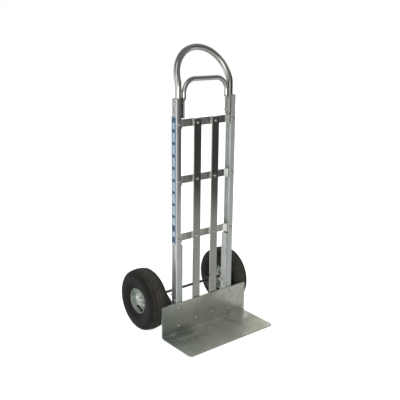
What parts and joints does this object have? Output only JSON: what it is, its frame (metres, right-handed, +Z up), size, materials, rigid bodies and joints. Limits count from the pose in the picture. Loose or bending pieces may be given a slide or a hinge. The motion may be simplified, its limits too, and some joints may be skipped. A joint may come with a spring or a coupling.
{
  "type": "hand truck",
  "caption": "Upright aluminium hand truck with a bent nose plate, channel rails, crossbars, centre strips, a loop handle with an inner grip, and pneumatic wheels on a fixed axle.",
  "frame": {"origin": "middle of the footprint, on the floor", "axes": "+Z up, +X along the truck's width, -Y forward over the toe of the nose plate, +Y towards the wheels"},
  "size_m": [0.533, 0.461, 1.1894],
  "materials": {
    "nose_plate": "satin mill finish",
    "rail": "satin extrusion",
    "strip": "bright mill finish",
    "crossbar": "satin",
    "handle_tube": "polished",
    "bracket": "as cast",
    "axle": "dull steel",
    "cap": "zinc plated",
    "fastener": "zinc plated",
    "label": "printed film",
    "tyre": "matte",
    "inner_tube": "matte",
    "rim": "galvanised",
    "hub": "zinc plated",
    "bearing": "ground"
  },
  "bodies": {
    "frame": {"axle": "axle", "grip_handle": "handle_tube", "left_axle_bracket": "bracket", "left_axle_cap": "cap", "left_bracket_bottom_bolt": "fastener", "left_bracket_middle_bolt": "fastener", "left_bracket_top_bolt": "fastener", "left_center_strip": "strip", "left_grip_high_bolt": "fastener", "left_grip_low_bolt": "fastener", "left_nose_rail_high_bolt": "fastener", "left_nose_rail_low_bolt": "fastener", "left_nose_strip_bolt": "fastener", "left_rail": "rail", "left_rail_label": "label", "left_rail_lower_bolt": "fastener", "left_rail_middle_bolt": "fastener", "left_rail_upper_bolt": "fastener", "left_strip_lower_bolt": "fastener", "left_strip_middle_bolt": "fastener", "left_strip_upper_bolt": "fastener", "loop_handle": "handle_tube", "lower_crossbar": "crossbar", "middle_crossbar": "crossbar", "nose_plate": "nose_plate", "right_axle_bracket": "bracket", "right_axle_cap": "cap", "right_bracket_bottom_bolt": "fastener", "right_bracket_middle_bolt": "fastener", "right_bracket_top_bolt": "fastener", "right_center_strip": "strip", "right_grip_high_bolt": "fastener", "right_grip_low_bolt": "fastener", "right_nose_rail_high_bolt": "fastener", "right_nose_rail_low_bolt": "fastener", "right_nose_strip_bolt": "fastener", "right_rail": "rail", "right_rail_label": "label", "right_rail_lower_bolt": "fastener", "right_rail_middle_bolt": "fastener", "right_rail_upper_bolt": "fastener", "right_strip_lower_bolt": "fastener", "right_strip_middle_bolt": "fastener", "right_strip_upper_bolt": "fastener", "upper_crossbar": "crossbar"},
    "left_wheel": {"left_hub": "hub", "left_inner_bearing": "bearing", "left_inner_tube": "inner_tube", "left_outer_bearing": "bearing", "left_rim_inner_half": "rim", "left_rim_outer_half": "rim", "left_tyre": "tyre"},
    "right_wheel": {"right_hub": "hub", "right_inner_bearing": "bearing", "right_inner_tube": "inner_tube", "right_outer_bearing": "bearing", "right_rim_inner_half": "rim", "right_rim_outer_half": "rim", "right_tyre": "tyre"}
  },
  "joints": [
    {"name": "left_wheel_spin", "type": "hinge", "parent": "frame", "child": "left_wheel", "pos_m": [-0.2219, 0.09795, 0.1325], "axis": [1, 0, 0], "continuous": true},
    {"name": "right_wheel_spin", "type": "hinge", "parent": "frame", "child": "right_wheel", "pos_m": [0.2219, 0.09795, 0.1325], "axis": [1, 0, 0], "continuous": true}
  ]
}
